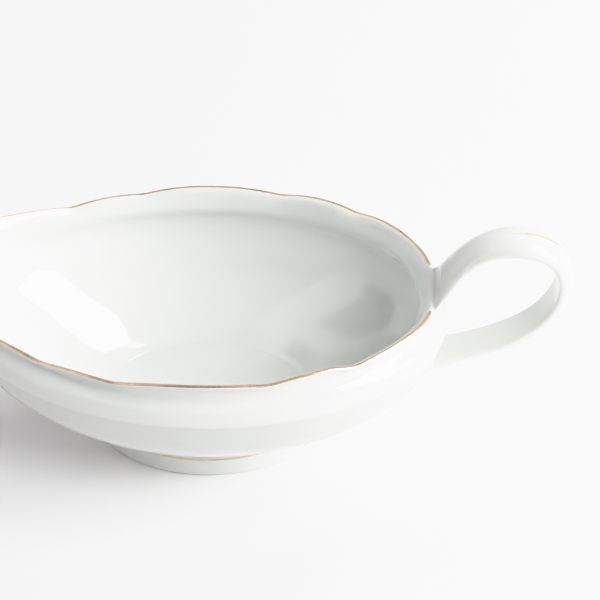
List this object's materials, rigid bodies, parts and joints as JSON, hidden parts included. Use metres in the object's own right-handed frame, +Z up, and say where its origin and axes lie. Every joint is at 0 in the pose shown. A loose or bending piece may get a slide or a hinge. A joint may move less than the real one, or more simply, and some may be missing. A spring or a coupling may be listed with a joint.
{
  "type": "sauce boat",
  "caption": "Oval glazed porcelain sauce boat with a scalloped flared rim, pouring lip, looped strap handle and oval foot ring, with thin gold lines",
  "frame": {"origin": "centre of the foot ring's underside, on the table", "axes": "+Z up; +X along the boat toward the handle, the pouring lip points to -X; Y across, the boat is symmetric in Y"},
  "size_m": [0.2178, 0.1092, 0.0835],
  "materials": {
    "porcelain": "glossy clear glaze over white porcelain",
    "slip": "fired luting slip under the same glaze",
    "gold": "thin fired gold line, worn satin; brass stands in for gold"
  },
  "bodies": {
    "root": {"bowl": "porcelain", "foot_ring": "porcelain", "foot_slip_joint": "slip", "handle": "porcelain", "upper_slip_joint": "slip", "lower_slip_joint": "slip", "rim_gilding": "gold", "foot_gilding": "gold", "handle_gilding": "gold"}
  },
  "joints": []
}
